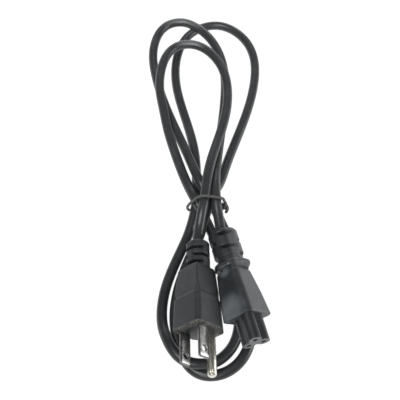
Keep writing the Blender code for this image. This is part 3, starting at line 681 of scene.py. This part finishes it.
# The nose and its three contacts stay as the nodes they are, with their own finishes.
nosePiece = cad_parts["cloverleaf_nose"]
contacts = [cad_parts[name] for name in ("contact_line", "contact_neutral", "contact_earth")]
for node in (nosePiece, *contacts):
    node.data.materials.clear()
    node.data.materials.append(nosePlastic if node is nosePiece else brassFinish)

print("blades and pin")
blade = dict(spacing=12.7, thickness=1.5, width=6.35, length=16.4, root=6.0, hole=3.2, holeAt=11.9,
             edge=0.3, tip=0.8, corner=0.9, holeEdge=0.12)
pin = dict(offset=11.9, diameter=4.76, length=21.4, root=8.0, dome=1.9, fine=6.0, thinnest=0.4,
           seam=0.4, seamDepth=0.7, seamStart=3.2,
           opening=1.15, openingAt=1.9, openingDepth=1.6, openingEdge=0.2)


def bladePiece(name, side):
    # rows run from the hole's wall over one face, round the outer edge and back over the other face
    half, width = blade["thickness"] / 2, blade["width"] / 2
    edges = ((blade["edge"], blade["tip"], half), (0.08, 0.4, half - 0.1), (0, 0, half - 0.35),
             (0, 0, -half + 0.35), (0.08, 0.4, -half + 0.1), (blade["edge"], blade["tip"], -half))
    cross = [x for _, _, x in edges]
    rows = []
    for less, tip, _ in edges:  # how far the outline is drawn in, at the sides and at the tip
        near, far, out = -blade["root"], blade["length"] - tip, width - less
        rows.append([(near, -out), (far, -out), (far, out), (near, out)])
    outer = rounded(np.array(rows, float), blade["corner"], 5, 14)
    ray = outer[0] - (blade["holeAt"], 0)
    ray = ray / np.linalg.norm(ray, axis=1)[:, None]
    wall, rim = [(blade["holeAt"], 0) + ray * (blade["hole"] / 2 + more) for more in (0, blade["holeEdge"])]
    flat = np.stack([wall, rim, *outer, rim, wall])
    cross = np.array([half - 0.15, half, *cross, -half, -half + 0.15])
    x = np.broadcast_to(cross[:, None] + side * blade["spacing"] / 2, flat.shape[:2])
    grid = np.stack([x, flat[..., 0], flat[..., 1]], axis=-1)
    piece = gridMesh(name, placed(grid, plug), bladeNickel, loop=True)
    return piece


def pinPiece():
    # a turned surface, radius by place along the axis, with a seam pressed in along its upper side and an
    # opening at the end of the seam
    radius, dome, tip = pin["diameter"] / 2, pin["dome"], pin["length"]
    angle = np.linspace(math.pi / 2, 0, 20)
    front = np.linspace(tip - dome, tip - pin["fine"], 30)[1:]
    shaft = np.linspace(tip - pin["fine"], -pin["root"], 40)[1:]
    y = np.concatenate([tip - dome + dome * np.sin(angle), front, shaft])
    r = np.concatenate([radius - dome + dome * np.cos(angle), np.full(len(front) + len(shaft), radius)])
    turn = np.linspace(0, 2 * np.pi, 120, endpoint=False)
    up = ownFrame(plug)[:3, :3].T @ np.array((0.0, -0.25, 1.0))
    fromSeam = np.angle(np.exp(1j * (turn - math.atan2(up[2], up[0]))))[None, :]
    across = fromSeam * r[:, None]
    groove = pin["seamDepth"] * np.exp(-(across / pin["seam"]) ** 2) * (y < tip - pin["seamStart"])[:, None]
    away = np.hypot(across, y[:, None] - tip + pin["openingAt"]) / pin["opening"]
    opening = np.clip((1.0 - away) / pin["openingEdge"], 0, 1) * pin["openingDepth"]
    depth = np.maximum(groove, opening) * (np.cos(fromSeam) > 0)
    r = r[:, None] - np.minimum(depth, r[:, None] * (1 - pin["thinnest"]))
    y = np.broadcast_to(y[:, None], r.shape)
    grid = np.stack([r * np.cos(turn), y, pin["offset"] + r * np.sin(turn)], axis=-1)
    piece = gridMesh("earth_pin_metal", placed(grid, plug), pinNickel)
    return piece


neutralPiece = bladePiece("neutral_blade_metal", 1)
linePiece = bladePiece("line_blade_metal", -1)
earthPiece = pinPiece()
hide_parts("neutral_blade")
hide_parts("line_blade")
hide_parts("earth_pin")

print("tie")


def tieTail(phase):
    # one of two ends wound round the line from twistFrom to twistTo
    start, end = np.array(tie["twistFrom"]), np.array(tie["twistTo"])
    along = (end - start) / np.linalg.norm(end - start)
    up = np.array((0, 0, 1)) - along * along[2]
    up /= np.linalg.norm(up)
    share = np.linspace(0, 1, tie["twistPoints"])[:, None]
    angle = phase + 2 * np.pi * tie["twistTurns"] * share
    around = up * np.cos(angle) + np.cross(along, up) * np.sin(angle)
    return start + (end - start) * share + around * tie["twistRadius"]


tieLine = np.concatenate([tieTail(0)[::-1], tie["route"], tieTail(math.pi)])
tiePiece = tubeAlong("tie_wire", evenly(splineThrough(tieLine), tie["ring"]), tie["radius"], tieFinish, 16)
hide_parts("cord_tie")

for piece in (cordPiece, plugPiece, connectorPiece, neutralPiece, linePiece, earthPiece, tiePiece):
    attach(piece, "root")

print("floor and light")
studio = dict(
    floor=3000.0, floorDark=grey(0.11), floorLight=grey(0.12), floorGlow=0.97, world=0.16,
    away=900, size=480,
    lamps=(dict(name="lamp_right", turn=0, rise=8, power=4.8),
           dict(name="lamp_back", turn=90, rise=12, power=2.2),
           dict(name="lamp_front", turn=270, rise=40, power=2.3),
           dict(name="lamp_high", turn=225, rise=66, power=5.4)))


def makeFloor():
    # one plain square of glowing paper
    half = studio["floor"] / 2
    mesh = bpy.data.meshes.new("floor")
    corners = np.array([(-half, -half, 0), (half, -half, 0), (half, half, 0), (-half, half, 0)]) * mm
    mesh.from_pydata(corners.tolist(), [], [(0, 1, 2, 3)])
    finish = Finish("floor_paper", Roughness=0.9)
    speckle = finish.noise(40.0, 2.0, 0.5)
    finish.set("Base Color", finish.mix(speckle, studio["floorDark"], studio["floorLight"]))
    finish.set("Emission Color", (1, 1, 1, 1))
    finish.set("Emission Strength", studio["floorGlow"])
    floor = finishPiece("floor", mesh, finish.material, 0)
    floor.visible_diffuse = False  # the paper is white, but throws no light up at the lead


def makeLamps():
    # square lamps all one distance away, turned about the vertical and raised by degrees, and a faint sky
    for lamp in studio["lamps"]:
        data = bpy.data.lights.new(lamp["name"], "AREA")
        data.shape, data.size, data.energy = "SQUARE", studio["size"] * mm, lamp["power"]
        obj = bpy.data.objects.new(lamp["name"], data)
        bpy.context.scene.collection.objects.link(obj)
        turn, rise = math.radians(lamp["turn"]), math.radians(lamp["rise"])
        towards = Vector((math.cos(turn) * math.cos(rise), math.sin(turn) * math.cos(rise), math.sin(rise)))
        aim(obj, towards * studio["away"], (0, 0, 0))
    world = bpy.data.worlds.new("studio")
    bpy.context.scene.world = world
    world.use_nodes = True
    background = world.node_tree.nodes["Background"]
    background.inputs["Color"].default_value = (1, 1, 1, 1)
    background.inputs["Strength"].default_value = studio["world"]


makeFloor()
makeLamps()
bpy.context.scene.view_settings.view_transform = "Standard"
